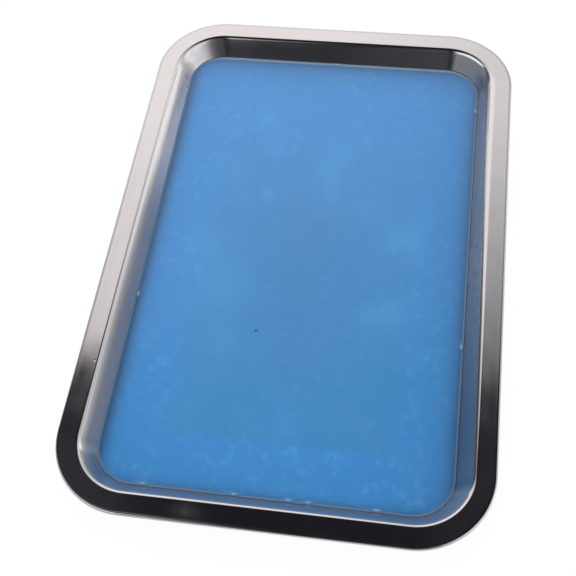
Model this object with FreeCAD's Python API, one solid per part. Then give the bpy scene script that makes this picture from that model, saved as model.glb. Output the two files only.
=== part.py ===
import FreeCAD, Part
import math
import os

os.makedirs("parts", exist_ok=True)

# Sizes are in millimetres. X runs across the tray, Y along it and Z up from the bench.
# The origin is the middle of the flat underside.

# Pressed steel pan, overall
tray_length = 300.0
tray_width = 200.0
tray_depth = 20.0
corner_radius = 36.5  # of the rim's outer edge, seen from above
sheet = 0.6

# Its section, from the outer edge inwards
hem_radius = 1.2  # outside of the curl under the rim's edge
hem_return = 1.0  # straight tail of that curl
rim_width = 9.4  # outer edge to where the flat rim starts to bend down
rim_bend = 2.8  # radius over the bend, on the upper face
wall_lean = 34.0  # degrees that the wall leans out from the vertical
floor_fillet = 5.0  # inside radius between the wall and the floor

# Wax pad, poured in and left to set
pad_below_rim = 10.0  # flat face of the wax, measured down from the rim
pad_shrink = 0.1  # the set wax stands this far off the sloping wall
meniscus_height = 0.5  # the wax climbs the wall by this much
meniscus_width = 2.5  # and levels out this far from it

# Directions of the leaning wall in its section: outwards is +r and upwards is +z
lean = math.radians(wall_lean)
wall_normal = FreeCAD.Vector(-math.cos(lean), 0, math.sin(lean))
normal_angle = 180.0 - wall_lean
up = FreeCAD.Vector(0, 0, 1)

# Every section is drawn at r, its distance from a corner's upright axis
axis_x = tray_width / 2 - corner_radius
axis_y = tray_length / 2 - corner_radius
bend_centre = FreeCAD.Vector(corner_radius - rim_width, 0, tray_depth - rim_bend)
wall_top = bend_centre + wall_normal * rim_bend
pad_top = tray_depth - pad_below_rim


def wall_reach(height):
    """Distance from the corner axis to the wall's inner face at a height."""
    return wall_top.x - (wall_top.z - height) * math.tan(lean)


# The fillet touches the floor's upper face and the wall's inner face
fillet_centre_z = sheet + floor_fillet
fillet_centre = FreeCAD.Vector(
    wall_reach(fillet_centre_z) - floor_fillet / math.cos(lean), 0, fillet_centre_z
)


def at(r, z):
    """Point of a section."""
    return FreeCAD.Vector(r, 0, z)


def on_arc(centre, radius, degrees):
    """Point at an angle round a centre, counted from outwards to upwards."""
    turn = math.radians(degrees)
    return centre + FreeCAD.Vector(math.cos(turn), 0, math.sin(turn)) * radius


def arc(centre, radius, start, end):
    """Arc of a section between two angles."""
    middle = (start + end) / 2
    return Part.Arc(*[on_arc(centre, radius, a) for a in (start, middle, end)]).toShape()


def closed_section(arcs, corners):
    """Face bounded by arcs joined by straight lines.

    corners has, for each arc, the points that the line passes before the arc starts.
    """
    edges = []
    last = arcs[-1].Vertexes[-1].Point
    for curve, points in zip(arcs, corners):
        for point in points + [curve.Vertexes[0].Point]:
            edges.append(Part.LineSegment(last, point).toShape())
            last = point
        edges.append(curve)
        last = curve.Vertexes[-1].Point
    return Part.Face(Part.Wire(edges))


def pan_section():
    """The sheet, from the floor up the wall, over the bend and round the hem."""
    hem_centre = at(corner_radius - hem_radius, tray_depth - hem_radius)
    tail_end = hem_centre.x - hem_return
    hem_bottom = hem_centre.z - hem_radius
    arcs = [
        arc(fillet_centre, floor_fillet, 270, normal_angle + 180),
        arc(bend_centre, rim_bend, normal_angle, 90),
        arc(hem_centre, hem_radius, 90, -90),
        arc(hem_centre, hem_radius - sheet, -90, 90),
        arc(bend_centre, rim_bend - sheet, 90, normal_angle),
        arc(fillet_centre, floor_fillet + sheet, normal_angle + 180, 270),
    ]
    corners = [
        [at(0, 0), at(0, sheet)],
        [],
        [],
        [at(tail_end, hem_bottom), at(tail_end, hem_bottom + sheet)],
        [],
        [],
    ]
    return closed_section(arcs, corners)


def pad_section():
    """The wax, with its lower edge in the pan's fillet and its rim raised up the wall."""
    side_step = pad_shrink / math.cos(lean)
    edge_centre = fillet_centre - at(side_step, 0)
    edge_top = pad_top + meniscus_height
    edge_reach = wall_reach(edge_top) - side_step
    run = meniscus_width + edge_reach - wall_reach(pad_top)
    curve_radius = (run**2 + meniscus_height**2) / (2 * meniscus_height)
    curve_centre = at(edge_reach - run, pad_top + curve_radius)
    climb = math.degrees(math.asin(run / curve_radius))
    arcs = [
        arc(edge_centre, floor_fillet, 270, normal_angle + 180),
        arc(curve_centre, curve_radius, 270 + climb, 270),
    ]
    corners = [
        [at(0, pad_top), at(0, sheet)],
        [],
    ]
    return closed_section(arcs, corners)


def taken_round(section, middle_bottom, middle_top):
    """Solid of a section carried round four sides and four corners, with its middle filled."""
    centre = FreeCAD.Vector(0, 0, 0)
    solids = []
    for turn in (0, 90, 180, 270):
        across, along = (axis_x, axis_y) if turn % 180 == 0 else (axis_y, axis_x)
        corner_axis = FreeCAD.Vector(across, along, 0)
        face = section.copy()
        face.translate(corner_axis)
        side = face.extrude(FreeCAD.Vector(0, -2 * along, 0))
        corner = face.revolve(corner_axis, up, 90)
        for solid in (side, corner):
            solid.rotate(centre, up, turn)
            solids.append(solid)
    middle = Part.makeBox(
        2 * axis_x,
        2 * axis_y,
        middle_top - middle_bottom,
        FreeCAD.Vector(-axis_x, -axis_y, middle_bottom),
    )
    return middle.fuse(solids).removeSplitter().Solids[0]


sub_parts = {
    "steel_pan": taken_round(pan_section(), 0, sheet),
    "wax_pad": taken_round(pad_section(), sheet, pad_top),
}
for name, solid in sub_parts.items():
    box = solid.BoundBox
    print(name, solid.isValid(), len(solid.Faces), "faces", round(solid.Volume), "mm3",
          [round(v, 2) for v in (box.XMin, box.XMax, box.YMin, box.YMax, box.ZMin, box.ZMax)])
    solid.exportStep(f"parts/{name}.step")
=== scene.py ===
import bpy
import bmesh
import math
import numpy as np
from mathutils import Matrix, Vector


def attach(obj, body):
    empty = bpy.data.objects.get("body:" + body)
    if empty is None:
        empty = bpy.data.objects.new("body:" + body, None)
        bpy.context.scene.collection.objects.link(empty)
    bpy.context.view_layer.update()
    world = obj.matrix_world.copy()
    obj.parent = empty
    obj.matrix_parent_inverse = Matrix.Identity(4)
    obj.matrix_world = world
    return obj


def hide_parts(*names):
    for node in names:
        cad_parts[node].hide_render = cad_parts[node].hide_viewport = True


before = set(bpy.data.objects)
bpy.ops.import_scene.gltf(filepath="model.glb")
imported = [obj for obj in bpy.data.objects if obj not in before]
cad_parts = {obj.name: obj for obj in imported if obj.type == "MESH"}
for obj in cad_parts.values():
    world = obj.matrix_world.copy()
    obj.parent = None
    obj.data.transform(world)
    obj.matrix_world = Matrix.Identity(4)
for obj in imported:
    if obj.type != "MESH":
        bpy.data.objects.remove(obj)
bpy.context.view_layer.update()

# Camera, placed by fitting the rim's outline in the photograph
cameraLook = {
    "place": (0.05701, -0.27681, 0.43894),  # metres
    "forward": (-0.12578, 0.50736, -0.85251),
    "right": (0.98818, 0.14004, -0.06245),
    "lens": 62.35,  # mm on a 36 mm sensor
}
cameraData = bpy.data.cameras.new("trayCamera")
cameraData.lens = cameraLook["lens"]
cameraData.sensor_width = 36
cameraData.clip_start = 0.02
cameraData.clip_end = 60
camera = bpy.data.objects.new("trayCamera", cameraData)
bpy.context.scene.collection.objects.link(camera)
rightWay = Vector(cameraLook["right"])
backWay = -Vector(cameraLook["forward"])
turned = Matrix((rightWay, backWay.cross(rightWay), backWay)).transposed()
camera.rotation_mode = "QUATERNION"
camera.location = cameraLook["place"]
camera.rotation_quaternion = turned.to_quaternion()
bpy.context.scene.camera = camera
print("camera set")


# Small tools for meshes and materials

def linear(hexColour):  # sRGB hex to linear rgba
    parts = np.array([int(hexColour[i:i + 2], 16) for i in (1, 3, 5)]) / 255
    curve = np.where(parts <= 0.04045, parts / 12.92, ((parts + 0.055) / 1.055) ** 2.4)
    return (*[float(v) for v in curve], 1.0)


def addNode(tree, kind, settings=None, inputs=None):  # inputs hold plain values, or sockets to link from
    node = tree.nodes.new(kind)
    for name, value in (settings or {}).items():
        setattr(node, name, value)
    for key, value in (inputs or {}).items():
        if isinstance(value, bpy.types.NodeSocket):
            tree.links.new(value, node.inputs[key])
        else:
            node.inputs[key].default_value = value
    return node


def setRamp(node, stops):  # stops are (place, colour), with straight runs between
    ramp = node.color_ramp
    ramp.interpolation = "LINEAR"
    while len(ramp.elements) > 1:
        ramp.elements.remove(ramp.elements[-1])
    ramp.elements[0].position = stops[0][0]
    ramp.elements[0].color = stops[0][1]
    for place, colour in stops[1:]:
        ramp.elements.new(place).color = colour


def smoothStep(low, high, value):  # 0 below low, 1 above high, eased between
    t = np.clip((value - low) / (high - low), 0, 1)
    return t * t * (3 - 2 * t)


def hill(distance, width):  # bell curve of a distance
    return np.exp(-0.5 * (distance / width) ** 2)


# Section sizes that both pieces share, in mm, as in the part's source
traySection = {
    "axisX": 63.5,  # the four corner axes stand at these distances from the middle
    "axisY": 113.5,
    "edge": 36.5,  # corner axis to the rim's outer edge
    "bendCentre": (27.1, 17.2),
    "bendRadius": 2.8,
    "lean": 34.0,  # degrees that the wall leans out
    "filletCentre": (9.868, 5.6),
    "filletRadius": 5.0,
    "sheet": 0.6,
    "hemCentre": (35.3, 18.8),
    "waxTop": 10.0,
}
lean = math.radians(traySection["lean"])
wallTurn = 180 - traySection["lean"]
wallTopR = traySection["bendCentre"][0] - traySection["bendRadius"] * math.cos(lean)
wallTopZ = traySection["bendCentre"][1] + traySection["bendRadius"] * math.sin(lean)


def lowWall(z):  # corner axis to the wall's inner face below the wax line, where the wall is straight
    return wallTopR - (wallTopZ - z) * math.tan(lean)


# What can be changed on the steel pan: sizes in mm, angles in degrees, and its finish. The real sheet
# isn't quite even, so some values go by side, as the camera sees them: near, right, far and left.
steelLook = {
    "columnStep": 2.2,  # between columns on the straight sides
    "cornerTurns": 24,  # columns in each corner
    "bendRows": 14,
    "wallRows": 16,
    "bendStart": {"near": 9.6, "right": 8.7, "far": 9.5, "left": 9.35},  # in from the outer edge
    "bendNear": {"near": 2.0, "right": 2.5, "far": 3.2, "left": 3.0},  # radius at the near end of each side
    "bendFar": {"near": 2.0, "right": 5.2, "far": 3.2, "left": 3.2},  # and at its far end
    "endTurn": {"near": 50, "right": 51, "far": 49, "left": 45},  # slope at the end of the bend
    "lowTurn": {"near": 56, "right": 53, "far": 55, "left": 57},  # slope at the wax line
    "rimTop": 19.97,  # flat of the rim; the hem's bead stands a little higher, at 20
    "rimEnd": 34.6,  # corner axis to where the flat ends
    "hemRadius": 0.75,
    "hemHollow": 0.35,  # radius of the hollow inside the hem
    "wave": 0.05,  # unevenness of the pressed sheet
    "dents": [  # small dings in the rim: x, y, depth, radius
        (-91.3, -77.0, 0.02, 0.7),
    ],
    "plain": "#c5c3c4",  # brighter streaks of the grain
    "dull": "#c3c1c2",  # duller ones
    "drawn": "#a3a3a7",  # stretched metal of the wall
    # share of that duller metal, softness of the wall's reflections and share of thin dried haze on the
    # wall: for each side, values by y
    "dullness": {"near": [(0, 1)], "right": [(0, 0.35)], "far": [(0, 0.6)],
                 "left": [(-40, 1), (15, 1), (50, 0)]},
    "softness": {"near": [(0, 1)], "right": [(0, 1.2)], "far": [(0, 1)],
                 "left": [(-113, 1.6), (0, 1.8), (60, 1.1), (113, 0.6)]},
    "haze": {"near": [(0, 0.04)], "right": [(-85, 0), (-35, 0.12), (0, 0.19), (40, 0.11), (113, 0.1)],
             "far": [(0, 0)], "left": [(-113, 0.06), (-75, 0.1), (-40, 0), (40, 0), (76, 0.2), (113, 0.36)]},
    "roughness": 0.085,  # of the rim
    "drawnRoughness": 0.19,  # of the wall where softness is 1
    "seam": {"near": 0, "right": 0.55, "far": 0.12, "left": 0.25},  # strength of the dark line along the hem
    "seamColour": "#4a484a",
    "smudges": [  # finger marks on the rim: x, y, half widths, strength
        (-34, -145, 4.6, 2.3, 0.05),
    ],
}


# Path round the tray: four straight runs and four quarter turns about the corner axes.
# base is the point on the rectangle of corner axes, way the outward unit vector there,
# and run the distance gone round, measured near the wall.
def roundPath(step, turns):
    ax, ay = traySection["axisX"], traySection["axisY"]
    corners = np.array([(ax, -ay), (ax, ay), (-ax, ay), (-ax, -ay)])
    bases, angles = [], []
    for side in range(4):
        start, end = corners[side], corners[(side + 1) % 4]
        count = int(round(np.linalg.norm(end - start) / step / 2)) * 2
        t = np.arange(count)[:, None] / count
        bases.append(start + (end - start) * t)
        angles.append(np.full(count, 90.0 * side))
        bases.append(np.repeat(end[None], turns, 0))
        angles.append(90.0 * side + 90.0 * np.arange(turns) / turns)
    base = np.concatenate(bases)
    angle = np.radians(np.concatenate(angles))
    way = np.stack([np.cos(angle), np.sin(angle)], 1)
    line = base + 20 * way
    hop = np.linalg.norm(np.roll(line, -1, 0) - line, axis=1)
    run = np.concatenate([[0], np.cumsum(hop)[:-1]])
    return {"base": base, "way": way, "run": run, "whole": float(hop.sum())}


def bySide(path, values):  # a value for each column from those of the four sides, eased round the corners
    way = path["way"]
    sides = {"right": way[:, 0], "far": way[:, 1], "left": -way[:, 0], "near": -way[:, 1]}
    return sum(value * np.clip(sides[side], 0, 1) ** 2 for side, value in values.items())


def byPlace(path, tables):  # the same where each side has a table of values by y, with straight runs between
    y = path["base"][:, 1]
    return bySide(path, {side: np.interp(y, *zip(*table)) for side, table in tables.items()})


# Section of the bend and of the wall above the wax, for each column. The bend is an arc that starts
# level on the rim and turns down by endTurn. From there a cubic curve runs down to the wax line,
# where it stands at lowTurn, and its two handles are 0.36 of the straight way.
def wallCurve(path):
    look = steelLook
    far = smoothStep(-110, 110, path["base"][:, 1])
    startR = traySection["edge"] - bySide(path, look["bendStart"])
    radius = bySide(path, look["bendNear"]) * (1 - far) + bySide(path, look["bendFar"]) * far
    endTurn = np.radians(bySide(path, look["endTurn"]))
    lowTurn = np.radians(bySide(path, look["lowTurn"]))
    endR, endZ = startR - radius * np.sin(endTurn), look["rimTop"] - radius * (1 - np.cos(endTurn))
    lowR, lowZ = lowWall(traySection["waxTop"]), traySection["waxTop"]
    handle = 0.36 * np.hypot(endR - lowR, endZ - lowZ)
    cornersR = [endR, endR - handle * np.cos(endTurn), lowR + handle * np.cos(lowTurn), lowR + 0 * handle]
    cornersZ = [endZ, endZ - handle * np.sin(endTurn), lowZ + handle * np.sin(lowTurn), lowZ + 0 * handle]
    return startR, radius, endTurn, cornersR, cornersZ


def alongCubic(corners, t):  # point and rate of a cubic curve at t from 0 to 1
    place = [(1 - t) ** 3, 3 * t * (1 - t) ** 2, 3 * t ** 2 * (1 - t), t ** 3]
    rate = [-3 * (1 - t) ** 2, 3 * (1 - t) * (1 - 3 * t), 3 * t * (2 - 3 * t), 3 * t ** 2]
    return sum(k * c for k, c in zip(place, corners)), sum(k * c for k, c in zip(rate, corners))


def bendAndWall(path, bendRows, wallRows):  # rows by columns of r and z, and the unit vector to the outside
    startR, radius, endTurn, cornersR, cornersZ = wallCurve(path)
    turn = np.linspace(0, 1, bendRows)[:, None] * endTurn
    t = np.linspace(0, 1, wallRows + 1)[1:, None]
    curveR, rateR = alongCubic(cornersR, t)
    curveZ, rateZ = alongCubic(cornersZ, t)
    pace = np.hypot(rateR, rateZ)
    r = np.concatenate([startR - radius * np.sin(turn), curveR])
    z = np.concatenate([steelLook["rimTop"] - radius * (1 - np.cos(turn)), curveZ])
    outR = np.concatenate([np.sin(turn), -rateZ / pace])
    outZ = np.concatenate([-np.cos(turn), rateR / pace])
    return r, z, outR, outZ


def wallReach(path, z):  # corner axis to the wall's inner face at a height round the wax line
    cornersR, cornersZ = wallCurve(path)[3:]
    t = 1 - (z - traySection["waxTop"]) / (3 * (cornersZ[2] - cornersZ[3]))
    for step in range(3):  # Newton's steps to the point of the curve at that height
        nowZ, rateZ = alongCubic(cornersZ, t)
        t = t - (nowZ - z) / rateZ
    return np.where(z < traySection["waxTop"], lowWall(z), alongCubic(cornersR, t)[0])


# Profile carried round the path. Point = base + r * way, and where r is below 0 the base shrinks
# towards the middle instead, so that the floor closes on a line.
def carryRound(path, r, z):
    ax, ay = traySection["axisX"], traySection["axisY"]
    inward = np.minimum(r, 0)
    outward = np.maximum(r, 0)
    x = path["base"][:, 0] * (ax + inward) / ax + outward * path["way"][:, 0]
    y = path["base"][:, 1] * (ay + inward) / ay + outward * path["way"][:, 1]
    return np.stack([x, y, z + 0 * x], -1)


# Grid of points to a closed mesh: rows run along the profile, columns close round the path, and
# the first and last rows meet on the tray's middle line, where doubles are merged.
def gridObject(name, points, attributes, material):
    rows, columns = points.shape[:2]
    index = np.arange(rows * columns).reshape(rows, columns)
    after = np.roll(index, -1, 1)
    quads = np.stack([index[:-1], after[:-1], after[1:], index[1:]], -1).reshape(-1, 4)
    mesh = bpy.data.meshes.new(name)
    mesh.from_pydata((points.reshape(-1, 3) * 0.001).tolist(), [], quads.tolist())
    for key, values in attributes.items():
        layer = mesh.attributes.new(key, "FLOAT", "POINT")
        layer.data.foreach_set("value", np.ascontiguousarray(values, dtype=np.float32).ravel())
    work = bmesh.new()
    work.from_mesh(mesh)
    bmesh.ops.remove_doubles(work, verts=work.verts, dist=2e-6)
    bmesh.ops.recalc_face_normals(work, faces=work.faces)
    work.to_mesh(mesh)
    work.free()
    mesh.shade_smooth()
    mesh.set_sharp_from_angle(angle=math.radians(50))
    mesh.materials.append(material)
    piece = bpy.data.objects.new(name, mesh)
    bpy.context.scene.collection.objects.link(piece)
    print(name, len(mesh.vertices), "points", len(mesh.polygons), "faces")
    return piece


def arcPoints(centre, radius, start, end, count):  # points on an arc of the section, ends included
    turn = np.radians(np.linspace(start, end, count))
    return np.stack([centre[0] + radius * np.cos(turn), centre[1] + radius * np.sin(turn)], 1)


def linePoints(start, end, count):  # points between two ends, ends left out
    t = (np.arange(count) + 1)[:, None] / (count + 1)
    return np.array(start) + (np.array(end) - np.array(start)) * t


# Section of the steel pan as r and z for each column. It runs on the upper face from the middle out:
# floor, fillet arc, straight and then curved wall, bend, rim. The hem turns down round the edge and
# back up inside, and the lower face returns one sheet's thickness away.
def panProfile(path):
    s = traySection
    fr = s["filletCentre"][0]
    hr, hz = s["hemCentre"]
    t = s["sheet"]
    top, rimEnd = steelLook["rimTop"], steelLook["rimEnd"]
    outer, hollow = steelLook["hemRadius"], steelLook["hemHollow"]
    hemR = s["edge"] - outer
    r, z, outR, outZ = bendAndWall(path, steelLook["bendRows"], steelLook["wallRows"])
    startR = r[0]
    innerFillet = arcPoints(s["filletCentre"], s["filletRadius"], 270, wallTurn + 180, 7)
    outerFillet = arcPoints(s["filletCentre"], s["filletRadius"] + t, wallTurn + 180, 270, 7)
    middle = -s["axisX"]  # where the floor closes
    before = np.concatenate([
        [(middle, t), (-40, t), (-15, t), (3, t), (fr - 0.3, t)], innerFillet,
        linePoints(innerFillet[-1], (r[-1, 0], z[-1, 0]), 3)])
    # the hem: a bead up to the full 20 mm, round the edge, under and back, and a hollow up inside
    bead = [(34.9, top), (35.15, top), (35.25, top + 0.003), (35.37, top + 0.012), (35.48, 19.992)]
    hem = np.concatenate([
        bead, arcPoints((hemR, 20 - outer), outer, 100, 0, 12), [(s["edge"], hz)],
        arcPoints((hemR, hz + 0.3 - outer), outer, 0, -90, 8),
        [(hr - 0.5, hz - 1.2), (hr - 1.0, hz - 1.2), (hr - 1.0, hz - 0.6), (hr - 0.5, hz - 0.6)],
        arcPoints((hemR - 0.2, hz - 0.2), hollow, -90, 0, 5),
        arcPoints((hemR - 0.2, hz + 0.2), hollow, 0, 90, 5)])
    wallFoot = (r[-1, 0] + t * outR[-1, 0], z[-1, 0] + t * outZ[-1, 0])
    after = np.concatenate([
        linePoints(wallFoot, outerFillet[0], 3), outerFillet,
        [(fr - 0.3, 0), (3, 0), (-15, 0), (-40, 0), (middle, 0)]])
    flat = np.array([0.03, 0.16, 0.32, 0.5, 0.7, 0.86, 0.97])[:, None]  # shares of the way across the rim
    rimR = startR + (rimEnd - startR) * flat
    ones = np.ones_like(startR)
    parts = [(before[:, :1] * ones, before[:, 1:] * ones), (r[::-1], z[::-1]),
             (rimR, top * np.ones_like(rimR)), (hem[:, :1] * ones, hem[:, 1:] * ones),
             (rimR[::-1], (top - t) * np.ones_like(rimR)),
             (r + t * outR, z + t * outZ), (after[:, :1] * ones, after[:, 1:] * ones)]
    return np.concatenate([p[0] for p in parts]), np.concatenate([p[1] for p in parts])


# Unevenness of the sheet: a few long waves round the tray and across its section, always
# downwards, fading out at the hem and under the wax.
def sheetWave(path, r):
    turn = 2 * np.pi * path["run"] / path["whole"]
    w = (np.sin(11 * turn + 0.12 * r + 0.4) + 0.8 * np.sin(23 * turn - 0.21 * r + 2.1)
         + 0.5 * np.sin(41 * turn + 0.3 * r + 1.3) + 0.6 * np.sin(5 * turn + 0.35 * r))
    share = smoothStep(13, 18, r) * (1 - smoothStep(31.5, 34.0, r))
    return -steelLook["wave"] * (0.5 + 0.5 * w / 2.9) * share


# Steel pan: its section carried round the path, with the waves added to the height. Each point also
# carries how duller (drawn), softer (softness), hazier (haze) or nearer the hem's line (seam) it is.
def makePan(material):
    path = roundPath(steelLook["columnStep"], steelLook["cornerTurns"])
    r, z = panProfile(path)
    points = carryRound(path, r, z)
    points[..., 2] += sheetWave(path, r)
    wall = (1 - smoothStep(18.4, 19.3, z)) * (r < 28)  # 1 on the stretched wall, 0 on the rim
    upper = np.arange(len(r))[:, None] < len(r) / 2  # the first half of the rows is the upper face
    haze = byPlace(path, steelLook["haze"]) * wall * upper
    for x, y, wide, deep, strength in steelLook["smudges"]:
        haze = haze + strength * hill(points[..., 0] - x, wide) * hill(points[..., 1] - y, deep) * upper
    seam = hill(r - 35.45, 0.24) * (z > 19.9) * bySide(path, steelLook["seam"])
    return gridObject("steelPan", points, {
        "drawn": wall * byPlace(path, steelLook["dullness"]),
        "softness": wall * byPlace(path, steelLook["softness"]), "haze": haze, "seam": seam}, material)


# What can be changed on the wax pad, in mm
waxLook = {
    "columnStep": 1.15,
    "cornerTurns": 28,
    "climb": 0.45,  # how far the set wax climbs the wall
    "reach": 0.7,  # distance over which the climb falls to a third
    "smear": 0.16,  # thin film above the climb
    "longClimb": {"near": 0.05, "right": 0.16, "far": 0.30, "left": 0.12},  # slow rise towards the wall
    "longReach": 4.5,  # distance over which that falls to a third
    "unevenness": 0.07,  # height of the long swells in the top face
    # painted shade along the wall, partly thinner wax there: length of the fast fade, of the slow fade, share
    # of the slow one, power of the fast one
    "edgeShadeFades": {"near": (1.7, 10, 0.08, 1.0), "right": (3.6, 19, 0.36, 1.1), "far": (4.2, 9.0, 0.62, 1.0),
                  "left": (4.4, 14, 0.1, 1.8)},
    "thinness": {"left": 0.45},  # added to the depth that sets the edge's tone
    "beads": [  # drops on the edge: side, place along it, length, height
        ("near", -57.7, 1.5, 0.40), ("near", -15.4, 1.4, 0.34), ("near", 9.4, 1.5, 0.40),
        ("near", 18.4, 1.2, 0.32), ("near", 49.0, 1.5, 0.40), ("right", -46.0, 1.5, 0.40),
        ("right", 103.0, 1.5, 0.40),
        ("far", 0.7, 1.6, 0.36), ("far", -54.6, 1.3, 0.32), ("left", -33.0, 1.5, 0.38),
    ],
    "clouds": [  # paler places: x, y, radius, strength
        (10.5, 67, 5, 0.5), (3, 54.5, 6, 0.5), (7, 46, 5, 0.4), (8, 37, 4, 0.4), (29, 32, 5, 0.5),
        (50.5, 16, 8, 0.8), (-41, -24, 9, 0.8), (48, -30.5, 5, 0.6), (37, -33, 4, 0.5), (-32, -54, 5, 0.5),
        (2, -95.5, 5, 0.5), (-52, 1, 6, 0.5), (-24.5, 68, 5, 0.4), (-44.5, 49.5, 5, 0.4), (-38, 32, 4, 0.4),
        (-32, 87, 5, 0.4), (-25.5, 35.5, 2.5, 0.9),
    ],
    "smears": [  # soft darker places: x, y, half widths, strength
        (-2, -33, 4, 16, 0.25), (0, 4, 24, 34, 0.6), (4, -62, 18, 22, 0.25),
    ],
    "marks": [  # pin holes and scratches: x, y, half length, half width, turn in degrees, strength
        (-18.5, -47.5, 1.15, 1.0, 20, 0.95), (21.75, 60, 0.8, 0.7, 0, 0.4), (73.75, 22.75, 0.8, 0.7, 0, 0.4),
        (-74, 118.2, 2.6, 0.3, -45, 0.3), (-72, 116.4, 2.2, 0.3, -50, 0.25),
    ],
    "colours": {
        "border": "#408cd0",  # all round
        "panel": "#428ac6",  # greyer middle
        "warm": "#4781b8",  # shades
        # edge: painted shade close to the wall, partly the colour of thinner wax there
        "edge": "#33587e",  # close to the wall
        "pale": "#52a2e4",  # bubbles and clouds
        "film": "#4b7095",  # thin wax on the wall
        # far film colour: the film paled by a painted sheen at the far end
        "farSheenFilm": "#8295a8",
        # line colour: painted contact shadow where the film meets the steel
        "line": "#334255",  # the film's upper edge
        # glint colour: painted highlight on the drops
        "glint": "#8cbce8",  # drops on the edge
        "mark": "#0d558f",  # pin holes and scratches
    },
    "panelBox": (-53.0, 55.5, -105.5),  # left, right and lower edge of the greyer middle
}


# Section of the wax pad as r and z for each column: the top face from the middle out, rising to the
# wall by two exponentials of the distance from it, a thin film above, then down the wall and back
# under. Also gives the first row that isn't seen from above.
def waxProfile(path):
    s = traySection
    turn = 2 * np.pi * path["run"] / path["whole"]
    climb = waxLook["climb"] * (
        1 + 0.10 * np.sin(9 * turn + 1) + 0.09 * np.sin(26 * turn) + 0.06 * np.sin(61 * turn))
    top = s["waxTop"]
    contactZ = top + climb
    contactR = wallReach(path, contactZ) - 0.05
    ripple = (np.sin(37 * turn + 0.5) + np.sin(58 * turn + 2.0)
              + np.sin(97 * turn + 4.0) + np.sin(19 * turn)) / 4
    filmRise = waxLook["smear"] * (1.0 + 0.75 * ripple)
    ones = np.ones_like(turn)
    fixedR = np.concatenate([np.arange(-s["axisX"], 6.5, 3.0), [7.0]])
    # distances from the wall of the rows near it, closer and closer
    gaps = np.array([11.0, 9.5, 8.2, 7, 6, 5.2, 4.5, 3.9, 3.4, 3.0, 2.6, 2.3, 2.0, 1.75, 1.5, 1.3, 1.1,
                     0.95, 0.8, 0.65, 0.5, 0.38, 0.25, 0.12, 0.0])
    middle = fixedR[:, None] * ones
    near = gaps[:, None]
    edge = contactR * hill(near, 6.0) + contactR.mean() * (1 - hill(near, 6.0)) - near
    long = bySide(path, waxLook["longClimb"])
    rise = (climb - long) * np.exp(-near / waxLook["reach"]) + long * np.exp(-near / waxLook["longReach"])
    # the film stands 0.05 mm off the steel at its foot and 0.018 at its top, and the wax below 0.12
    up = np.array([0.2, 0.4, 0.6, 0.8, 0.93, 1.0])[:, None]
    filmZ = contactZ + up * filmRise
    filmR = wallReach(path, filmZ) - (0.05 - 0.032 * up)
    backZ = contactZ + np.array([1.0, 0.5, 0.0])[:, None] * filmRise
    backR = wallReach(path, backZ) - 0.012
    downZ = np.array([9.0, 7.5, 5.5, 3.6])[:, None] * ones
    downR = wallReach(path, downZ) - 0.12
    fr, fz = s["filletCentre"]
    corner = arcPoints((fr - 0.12, fz), s["filletRadius"], wallTurn + 180, 270, 6)
    floorZ = s["sheet"] + 0.005
    under = np.array([(5, floorZ), (-10, floorZ), (-35, floorZ), (-s["axisX"], floorZ)])
    low = np.concatenate([corner, under])[:, :, None] * ones
    r = np.concatenate([middle, edge, filmR, backR, downR, low[:, 0]])
    z = np.concatenate([middle * 0 + top, top + rise, filmZ, backZ, downZ, low[:, 1]])
    return r, z, len(middle) + len(edge) + len(filmR)


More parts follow.
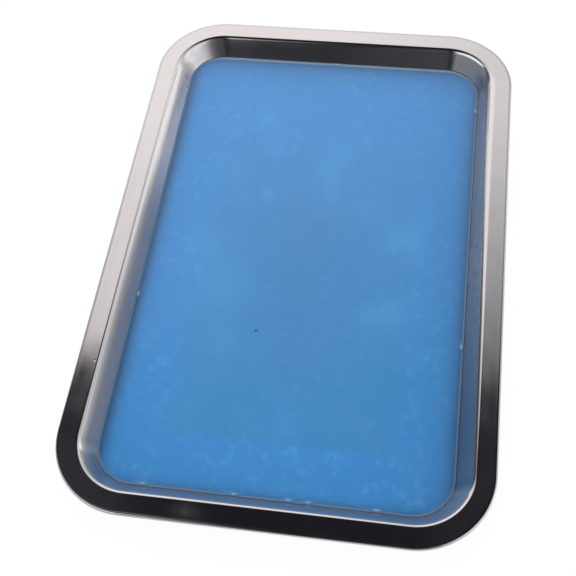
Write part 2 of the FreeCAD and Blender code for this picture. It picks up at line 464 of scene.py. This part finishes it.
# Wax pad: its section carried round the path, with long sine swells and the drops on its edge, which
# are bell curves, added to the height. Each point also carries what the material needs: the tone of
# the edge, which is painted shade along the wall and partly thinner wax, the depth of wax over the
# steel, and how far it lies in a cloud, a shade, a drop or the far edge.
def makePad(material):
    path = roundPath(waxLook["columnStep"], waxLook["cornerTurns"])
    r, z, firstBelow = waxProfile(path)
    points = carryRound(path, r, z)
    x, y = points[..., 0], points[..., 1]
    above = np.arange(len(r))[:, None] < firstBelow
    contact = lowWall(traySection["waxTop"])
    inside = np.clip(contact - r, 0, None)  # distance in from where the flat face would meet the wall
    swell = (np.sin(x / 13 + y / 21 + 0.5) + np.sin(x / 22 - y / 15 + 2)
             + 0.7 * np.sin(x / 7.5 + 1) * np.sin(y / 9))
    points[..., 2] += above * waxLook["unevenness"] * swell / 2.7 * smoothStep(1.5, 9, inside)
    sides = {"right": (1, 0, "y"), "far": (0, 1, "x"), "left": (-1, 0, "y"), "near": (0, -1, "x")}
    bead = np.zeros_like(x)
    for side, place, length, height in waxLook["beads"]:
        wx, wy, along = sides[side]
        facing = smoothStep(0.7, 0.95, wx * path["way"][:, 0] + wy * path["way"][:, 1])
        gone = (y if along == "y" else x) - place
        lump = hill(gone, length) * hill(r - (contact - 0.8), 0.5) * facing * above  # 0.8 mm in from the wall
        points[..., 2] += height * lump
        bead += lump
    ax, ay = traySection["axisX"], traySection["axisY"]
    away = {"right": ax + contact - x, "left": ax + contact + x,
            "far": ay + contact - y, "near": ay + contact + y}
    # painted shade along the wall, partly thinner wax: the tone falls from 1 inside to 0 at the wall, by side
    cornerAway = contact - np.hypot(np.clip(np.abs(x) - ax, 0, None), np.clip(np.abs(y) - ay, 0, None))
    edgeShadeAndThinning = 1 - np.exp(-np.clip(cornerAway, 0, None) / 0.7)
    for side, (fast, slowly, share, bent) in waxLook["edgeShadeFades"].items():
        d = np.clip(away[side], 0, None)
        edgeShadeAndThinning = edgeShadeAndThinning * (1 - (1 - share) * np.exp(-(d / fast) ** bent) - share * np.exp(-d / slowly))
    # far side, where a painted sheen pales the film and the thinner depth widens it
    farSheenSide = bySide(path, {"far": 1}) + 0 * r
    steelBelow = np.maximum(traySection["sheet"], wallTopZ - (wallTopR - r) / math.tan(lean))
    depth = np.clip(points[..., 2] - steelBelow, 0, 12)
    depth = np.where(above, depth * (1 - 0.5 * farSheenSide) + bySide(path, waxLook["thinness"]), 5)
    cloud = sum(k * hill(np.hypot(x - cx, (y - cy) * 0.8), w) for cx, cy, w, k in waxLook["clouds"])
    shade = sum(k * hill(x - cx, wx) * hill(y - cy, wy) for cx, cy, wx, wy, k in waxLook["smears"])
    edgeShadeAndThinning = edgeShadeAndThinning * above + (1 - above) * 0.2
    return gridObject("waxPad", points, {
        "edgeShadeAndThinning": edgeShadeAndThinning, "waxDepth": depth, "cloud": cloud, "shade": shade, "bead": bead,
        "farSheenSide": farSheenSide}, material)


# Stainless steel, bright rolled: nearly mirror-like, a little grey and warm, with only a trace of
# the fine straight grain along X in its reflections.
def stainlessMaterial():
    material = bpy.data.materials.new("brightRolledStainless")
    material.use_nodes = True
    tree = material.node_tree
    tree.nodes.clear()
    where = addNode(tree, "ShaderNodeTexCoord").outputs["Object"]
    grain = addNode(tree, "ShaderNodeMapping", inputs={"Vector": where, "Scale": (0.03, 1.0, 0.3)})
    # grain is drawn 0.9 mm wide, coarser than the real 0.1 mm, so that it shows
    streaks = addNode(tree, "ShaderNodeTexNoise", inputs={
        "Vector": grain.outputs[0], "Scale": 1100, "Detail": 3, "Roughness": 0.6})
    blotches = addNode(tree, "ShaderNodeTexNoise", inputs={"Vector": where, "Scale": 55, "Detail": 3})
    tint = addNode(tree, "ShaderNodeMix", {"data_type": "RGBA"}, {
        "Factor": addNode(tree, "ShaderNodeMapRange", inputs={
            "Value": streaks.outputs["Fac"], "From Min": 0.35, "From Max": 0.65}).outputs[0],
        "A": linear(steelLook["dull"]), "B": linear(steelLook["plain"])})

    def reading(name):
        return addNode(tree, "ShaderNodeAttribute", {"attribute_name": name}).outputs["Fac"]

    for layer, colour in (("drawn", "drawn"), ("seam", "seamColour")):
        tint = addNode(tree, "ShaderNodeMix", {"data_type": "RGBA"}, {
            "Factor": reading(layer), "A": tint.outputs["Result"], "B": linear(steelLook[colour])})
    # dried haze is no metal, so it takes its share, mottled over 3 mm, off the shader's metallic
    mottle = addNode(tree, "ShaderNodeTexNoise", inputs={"Vector": where, "Scale": 320, "Detail": 3})
    cover = addNode(tree, "ShaderNodeMapRange", inputs={
        "Value": mottle.outputs["Fac"], "From Min": 0.3, "From Max": 0.7, "To Min": -0.6, "To Max": -1.4})
    metal = addNode(tree, "ShaderNodeMath", {"operation": "MULTIPLY_ADD"}, {
        0: reading("haze"), 1: cover.outputs[0], 2: 1.0})
    # roughness from the softness, a little up and down over 20 mm
    polish = addNode(tree, "ShaderNodeMapRange", {"clamp": False}, {
        "Value": reading("softness"),
        "To Min": steelLook["roughness"], "To Max": steelLook["drawnRoughness"]})
    drift = addNode(tree, "ShaderNodeMapRange", inputs={
        "Value": blotches.outputs["Fac"],
        "From Min": 0.3, "From Max": 0.7, "To Min": -0.015, "To Max": 0.02})
    rough = addNode(tree, "ShaderNodeMath", {"operation": "ADD"}, {0: drift.outputs[0], 1: polish.outputs[0]})
    bump = addNode(tree, "ShaderNodeBump", inputs={
        "Height": streaks.outputs["Fac"], "Strength": 0.005, "Distance": 0.0001})
    for x, y, depth, radius in steelLook["dents"]:  # too small for the mesh: an eased hollow at rim height
        spot = addNode(tree, "ShaderNodeMapping", {"vector_type": "TEXTURE"}, {
            "Vector": where, "Location": (x / 1000, y / 1000, 0.02), "Scale": (radius / 1000,) * 3})
        away = addNode(tree, "ShaderNodeVectorMath", {"operation": "LENGTH"}, {0: spot.outputs[0]})
        hollow = addNode(tree, "ShaderNodeMapRange", {"interpolation_type": "SMOOTHSTEP"}, {
            "Value": away.outputs["Value"]})
        bump = addNode(tree, "ShaderNodeBump", inputs={
            "Height": hollow.outputs[0], "Strength": 1.0, "Distance": depth / 1000,
            "Normal": bump.outputs[0]})
    shader = addNode(tree, "ShaderNodeBsdfPrincipled", inputs={
        "Base Color": tint.outputs["Result"], "Roughness": rough.outputs[0], "Metallic": metal.outputs[0],
        "Normal": bump.outputs[0]})
    out = addNode(tree, "ShaderNodeOutputMaterial")
    tree.links.new(shader.outputs[0], out.inputs[0])
    return material


# Poured and set wax: satin, milky blue, paler where bubbles lie under the face, darker along the
# wall, partly where it thins out against the steel and partly as painted shade, and clear where only a
# film is left on the wall.
def waxMaterial():
    material = bpy.data.materials.new("satinPouredWax")
    material.use_nodes = True
    tree = material.node_tree
    tree.nodes.clear()
    where = addNode(tree, "ShaderNodeTexCoord").outputs["Object"]
    split = addNode(tree, "ShaderNodeSeparateXYZ", inputs={0: where})

    def reading(name):
        return addNode(tree, "ShaderNodeAttribute", {"attribute_name": name}).outputs["Fac"]

    def spread(value, low, high, toLow=0.0, toHigh=1.0):  # eased from toLow at low to toHigh at high
        return addNode(tree, "ShaderNodeMapRange", {"interpolation_type": "SMOOTHSTEP"}, {
            "Value": value, "From Min": low, "From Max": high,
            "To Min": toLow, "To Max": toHigh}).outputs[0]

    def times(a, b):
        return addNode(tree, "ShaderNodeMath", {"operation": "MULTIPLY"}, {0: a, 1: b}).outputs[0]

    def blend(factor, a, b):  # colour from a at 0 to b at 1
        return addNode(tree, "ShaderNodeMix", {"data_type": "RGBA"}, {
            "Factor": factor, "A": a, "B": b}).outputs["Result"]

    def colour(name):
        return linear(waxLook["colours"][name])

    left, right, lower = waxLook["panelBox"]
    soft = addNode(tree, "ShaderNodeTexNoise", inputs={  # soft patches about 17 mm wide
        "Vector": where, "Scale": 60, "Detail": 4, "Roughness": 0.6})
    panel = times(times(spread(split.outputs["X"], (left - 7) / 1000, (left + 8) / 1000),
                        spread(split.outputs["X"], (right - 8) / 1000, (right + 7) / 1000, 1.0, 0.0)),
                  times(spread(split.outputs["Y"], (lower - 2) / 1000, (lower + 2) / 1000),
                        spread(split.outputs["Y"], 0.02, 0.105, 1.0, 0.15)))
    body = blend(panel, colour("border"), colour("panel"))
    shade = times(reading("shade"), spread(soft.outputs["Fac"], 0.25, 0.75, 0.6, 1.0))
    body = blend(shade, body, colour("warm"))
    # milky mottling of 1 to 4 mm under the face, with a few rounder bubbles in it, drawn out a little
    # along Y and stronger towards the sides and the near end
    stretch = addNode(tree, "ShaderNodeMapping", inputs={
        "Vector": where, "Scale": (1.0, 0.75, 1.0)}).outputs[0]
    patchy = spread(addNode(tree, "ShaderNodeTexNoise", inputs={
        "Vector": where, "Scale": 42, "Detail": 2}).outputs["Fac"], 0.36, 0.62, 0.35, 1.0)
    outer = times(spread(panel, 0.0, 1.0, 1.0, 0.36), spread(split.outputs["Y"], -0.12, 0.06, 1.25, 0.85))
    milk = addNode(tree, "ShaderNodeTexNoise", inputs={
        "Vector": stretch, "Scale": 240, "Detail": 2, "Roughness": 0.55}).outputs["Fac"]
    cells = addNode(tree, "ShaderNodeTexVoronoi", {"feature": "F1"}, {
        "Vector": stretch, "Scale": 200, "Randomness": 1.0})
    chance = addNode(tree, "ShaderNodeSeparateColor", inputs={0: cells.outputs["Color"]}).outputs[0]
    bubbles = times(spread(cells.outputs["Distance"], 0.0, 0.5, 1.0, 0.0),
                    spread(chance, 0.5, 1.0, 0.0, 0.55))
    for spots in (spread(milk, 0.48, 0.76, 0.0, 0.42), times(bubbles, spread(milk, 0.38, 0.6, 0.0, 0.8))):
        body = blend(times(times(spots, patchy), outer), body, colour("pale"))
    clouds = times(reading("cloud"), spread(soft.outputs["Fac"], 0.35, 0.65, 0.25, 0.6))
    body = blend(clouds, body, colour("pale"))
    # painted shade along the wall, partly thinner wax: the edge colour where the tone falls
    body = blend(reading("edgeShadeAndThinning"), colour("edge"), body)
    depth = reading("waxDepth")
    # painted sheen: the film is paler at the far end
    film = blend(reading("farSheenSide"), colour("film"), colour("farSheenFilm"))
    body = blend(spread(depth, 0.6, 1.9, 1.0, 0.0), body, film)
    # painted contact shadow: a dark line where the thinnest film meets the steel
    body = blend(spread(depth, 0.15, 0.5, 1.0, 0.0), body, colour("line"))
    # painted highlight on the drops along the edge
    body = blend(spread(reading("bead"), 0.3, 1.0, 0.0, 0.6), body, colour("glint"))
    for x, y, long, wide, turn, strength in waxLook["marks"]:
        spot = addNode(tree, "ShaderNodeMapping", {"vector_type": "TEXTURE"}, {
            "Vector": where, "Location": (x / 1000, y / 1000, 0.01), "Rotation": (0, 0, math.radians(turn)),
            "Scale": (long / 1000, wide / 1000, 0.01)})
        away = addNode(tree, "ShaderNodeVectorMath", {"operation": "LENGTH"}, {0: spot.outputs[0]})
        faded = spread(away.outputs["Value"], 0.3, 1.1, strength, 0.0)
        body = blend(faded, body, colour("mark"))
    ripples = addNode(tree, "ShaderNodeTexNoise", inputs={"Vector": where, "Scale": 260, "Detail": 3})
    bump = addNode(tree, "ShaderNodeBump", inputs={
        "Height": ripples.outputs["Fac"], "Strength": 0.1, "Distance": 0.0006})
    rough = spread(soft.outputs["Fac"], 0.3, 0.7, 0.17, 0.23)
    shader = addNode(tree, "ShaderNodeBsdfPrincipled", inputs={
        "Base Color": body, "Roughness": rough, "IOR": 1.5, "Normal": bump.outputs[0]})
    out = addNode(tree, "ShaderNodeOutputMaterial")
    tree.links.new(shader.outputs[0], out.inputs[0])
    return material


pan = makePan(stainlessMaterial())
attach(pan, "root")
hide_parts("steel_pan")

pad = makePad(waxMaterial())
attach(pad, "root")
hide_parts("wax_pad")
print("pieces made")


# What can be changed in the studio
studioLook = {
    "dark": (0.0178, 0.0172, 0.0240),  # what polished steel sees where nothing bright stands
    "lampPower": 0.7,  # watts
    "lampPlace": (-0.12, 0.45, 0.55),
    "fill": 0.92,  # plain white light on everything matt, from all round
    # What polished steel sees, by direction: degrees from +Y towards +X, the brightness there, the
    # elevation above which it falls off slowly, the share left at its upper edge, and that edge.
    "surround": [
        (-180, 0.1, 50, 0.6, 78), (-174, 0.012, 50, 0.6, 78), (-168, 0.012, 50, 0.6, 78),
        (-162, 0.25, 40, 0.5, 74), (-154, 1.6, 40, 0.4, 68), (-146, 1.7, 48, 0.55, 70),
        (-90, 1.6, 48, 0.62, 73), (-76, 1.3, 48, 0.6, 72), (-70, 1.0, 45, 0.6, 70),
        (-53.5, 0.9, 42, 0.35, 62), (-50, 1.15, 40, 0.35, 58.2), (-36, 1.39, 50, 0.67, 58.8),
        (-32.5, 1.4, 50, 0.67, 62), (-20, 1.4, 47, 0.3, 62), (-6, 1.38, 47, 0.25, 62),
        (1, 1.22, 48, 0.17, 63), (5, 1.1, 48, 0.18, 63.1), (13, 1.15, 48, 0.17, 63.3),
        (25, 1.3, 43, 0.4, 66), (40, 1.4, 34, 0.5, 70), (49, 1.8, 8, 0.2, 72),
        (54, 1.3, 16, 0.33, 73), (58, 0.92, 22, 0.4, 74), (68, 0.95, 26, 0.4, 75),
        (75, 1.35, 30, 0.4, 75), (82, 1.6, 34, 0.35, 75), (96, 1.4, 34, 0.35, 75),
        (125, 1.6, 32, 0.35, 73), (135, 1.05, 36, 0.45, 76), (147, 0.28, 40, 0.5, 78),
        (165, 0.1, 50, 0.6, 78), (180, 0.1, 50, 0.6, 78),
    ],
    # Below which elevation it is dimmer, and what share is left there, by direction.
    "below": [
        (-180, 38, 1), (-165, 38, 0.8), (-152, 38, 0.24), (-130, 40, 0.26), (-105, 40, 0.26),
        (-90, 40, 0.26), (-80, 42, 0.3), (-72, 50, 0.22), (-68, 52, 0.13), (-64, 52, 0.07),
        (-58, 52, 0.13), (-53.5, 52, 0.36), (-50, 0, 1), (-48, 0, 1), (-46, 26, 0.12),
        (-43, 18, 0.4), (-26, 14, 0.4), (0, 10, 0.3), (6, 36, 0.55), (34, 36, 0.5),
        (43.5, 32, 0.35), (46.5, 6, 0.9), (51, 5, 0.9), (56, 10, 0.68), (63, 11, 0.65),
        (70, 10, 0.5), (95, 0, 0.9), (110, 26, 0.85), (125, 34, 0.7), (150, 38, 0.8),
        (168, 38, 1), (180, 38, 1),
    ],
    # What share is left above the upper edge, by direction.
    "above": [
        (-54, 0), (-50, 0.065), (-45.5, 0.055), (-43, 0.035), (-40.5, 0.008), (-38, 0),
        (4, 0), (8, 0.06), (12, 0.07), (14.5, 0.02), (18, 0),
    ],
    # Its colour by direction: a trace of blue low down on the left, and of warmth high up ahead.
    "lowTones": [
        (-160, (1, 1, 1)), (-135, (0.86, 0.89, 1)), (-118, (0.76, 0.82, 1)),
        (-100, (0.68, 0.76, 1)), (-80, (0.7, 0.78, 1)), (-68, (1, 1, 1)),
    ],
    "highTones": [
        (-180, (1, 1, 1)), (-56, (1, 1, 1)), (-46, (1, 0.955, 0.94)), (-4, (1, 0.95, 0.93)),
        (5, (1, 0.965, 0.95)), (8.5, (0.99, 0.985, 0.99)), (11, (0.98, 0.99, 1.0)), (30, (1, 1, 1.01)),
    ],
    "toneRise": (30, 44),  # elevations between which the low tones give way to the high ones
    "upperSoftness": 1.3,  # degrees by which the upper edge is soft, each way
    "lowerSoftness": 3,  # and the lower one
}


# World seen by direction. Around is the angle from +Y as a share of the turn, height the elevation as a
# share of 90 degrees, and each table above is a colour ramp over around.
def makeWorld():
    world = bpy.data.worlds.new("whiteStudio")
    bpy.context.scene.world = world
    world.use_nodes = True
    world.cycles.sampling_method = "NONE"
    tree = world.node_tree
    tree.nodes.clear()
    look = addNode(tree, "ShaderNodeTexCoord").outputs["Generated"]
    split = addNode(tree, "ShaderNodeSeparateXYZ", inputs={0: look})

    def maths(operation, a, b=0.0):
        return addNode(tree, "ShaderNodeMath", {"operation": operation}, {0: a, 1: b}).outputs[0]

    around = maths("ARCTAN2", split.outputs["X"], split.outputs["Y"])
    around = maths("ADD", maths("DIVIDE", around, 2 * math.pi), 0.5)
    height = maths("DIVIDE", maths("ARCSINE", split.outputs["Z"]), math.pi / 2)

    def byDirection(stops):  # stops are (degrees, rgba)
        ramp = addNode(tree, "ShaderNodeValToRGB", inputs={"Fac": around})
        setRamp(ramp, [(angle / 360 + 0.5, colour) for angle, colour in stops])
        return ramp.outputs

    def rise(low, high, toLow, toHigh, how="SMOOTHSTEP"):  # toLow below the height low, toHigh above high
        return addNode(tree, "ShaderNodeMapRange", {"interpolation_type": how}, {
            "Value": height, "From Min": low, "From Max": high, "To Min": toLow, "To Max": toHigh}).outputs[0]

    surround = byDirection([(angle, (bright / 2, start / 90, share, edge / 90))  # halved to stay within 1
                            for angle, bright, start, share, edge in studioLook["surround"]])
    parts = addNode(tree, "ShaderNodeSeparateColor", inputs={0: surround["Color"]}).outputs
    start, share, edge = parts[1], parts[2], surround["Alpha"]
    slow = rise(start, edge, 1.0, share, "LINEAR")
    above = byDirection([(angle, (share, share, share, 1)) for angle, share in studioLook["above"]])
    soft = studioLook["upperSoftness"] / 90
    upper = rise(maths("SUBTRACT", edge, soft), maths("ADD", edge, soft), 1.0, above["Color"])
    below = byDirection([(angle, (end / 90, share, 0, 1)) for angle, end, share in studioLook["below"]])
    lowParts = addNode(tree, "ShaderNodeSeparateColor", inputs={0: below["Color"]}).outputs
    soft = studioLook["lowerSoftness"] / 90
    lower = rise(maths("SUBTRACT", lowParts[0], soft), maths("ADD", lowParts[0], soft), lowParts[1], 1.0)
    lit = maths("MULTIPLY", maths("MULTIPLY", slow, upper), lower)
    bright = maths("MULTIPLY", maths("MULTIPLY", parts[0], 2.0), lit)
    lowTone, highTone = (byDirection([(angle, (*colour, 1)) for angle, colour in studioLook[name]])["Color"]
                         for name in ("lowTones", "highTones"))
    low, high = studioLook["toneRise"]
    tone = addNode(tree, "ShaderNodeMix", {"data_type": "RGBA"}, {
        "Factor": rise(low / 90, high / 90, 0.0, 1.0), "A": lowTone, "B": highTone}).outputs["Result"]
    seen = addNode(tree, "ShaderNodeVectorMath", {"operation": "MULTIPLY_ADD"}, {
        0: tone, 1: bright, 2: studioLook["dark"]}).outputs[0]
    rays = addNode(tree, "ShaderNodeLightPath")
    fill = studioLook["fill"]
    glossy = addNode(tree, "ShaderNodeMix", {"data_type": "RGBA"}, {
        "Factor": rays.outputs["Is Glossy Ray"], "A": (fill, fill, fill, 1), "B": seen})
    background = addNode(tree, "ShaderNodeMix", {"data_type": "RGBA"}, {
        "Factor": rays.outputs["Is Camera Ray"], "A": glossy.outputs["Result"], "B": (1, 1, 1, 1)})
    sky = addNode(tree, "ShaderNodeBackground", inputs={
        "Color": background.outputs["Result"], "Strength": 1.0})
    out = addNode(tree, "ShaderNodeOutputWorld")
    tree.links.new(sky.outputs[0], out.inputs[0])


# Floor: white paper that takes the shadow. The camera sees 0.93 of it as plain white, and steel a tenth.
def makeFloor():
    mesh = bpy.data.meshes.new("paleFloor")
    half, level = 6.0, -5e-5  # a hair under the tray
    mesh.from_pydata([(-half, -half, level), (half, -half, level), (half, half, level), (-half, half, level)],
                     [], [(0, 1, 2, 3)])
    material = bpy.data.materials.new("whitePaper")
    material.use_nodes = True
    tree = material.node_tree
    tree.nodes.clear()
    paper = addNode(tree, "ShaderNodeBsdfDiffuse", inputs={"Color": (0.9, 0.9, 0.9, 1)})
    white = addNode(tree, "ShaderNodeEmission", inputs={"Strength": 1.02})
    rays = addNode(tree, "ShaderNodeLightPath")
    mirrored = addNode(tree, "ShaderNodeMath", {"operation": "MAXIMUM"}, {
        0: rays.outputs["Is Glossy Ray"], 1: rays.outputs["Is Transmission Ray"]})
    part = addNode(tree, "ShaderNodeMath", {"operation": "MULTIPLY"}, {0: mirrored.outputs[0], 1: 0.1})
    share = addNode(tree, "ShaderNodeMath", {"operation": "MULTIPLY_ADD"}, {
        0: rays.outputs["Is Camera Ray"], 1: 0.93, 2: part.outputs[0]})
    mixed = addNode(tree, "ShaderNodeMixShader", inputs={
        0: share.outputs[0], 1: paper.outputs[0], 2: white.outputs[0]})
    out = addNode(tree, "ShaderNodeOutputMaterial")
    tree.links.new(mixed.outputs[0], out.inputs[0])
    mesh.materials.append(material)
    floor = bpy.data.objects.new("paleFloor", mesh)
    bpy.context.scene.collection.objects.link(floor)


def makeLamp():  # one broad soft lamp beyond the far end, so that light falls off towards the camera
    data = bpy.data.lights.new("farSoftbox", "AREA")
    data.shape = "DISK"
    data.size = 0.5
    data.energy = studioLook["lampPower"]
    lamp = bpy.data.objects.new("farSoftbox", data)
    lamp.location = studioLook["lampPlace"]
    lamp.rotation_mode = "QUATERNION"
    fromTray = Vector(studioLook["lampPlace"]) - Vector((0, 0.02, 0.01))
    lamp.rotation_quaternion = fromTray.to_track_quat("Z", "Y")
    lamp.visible_glossy = False
    bpy.context.scene.collection.objects.link(lamp)


makeWorld()
makeFloor()
makeLamp()
bpy.context.scene.view_settings.view_transform = "Standard"
print("studio made")
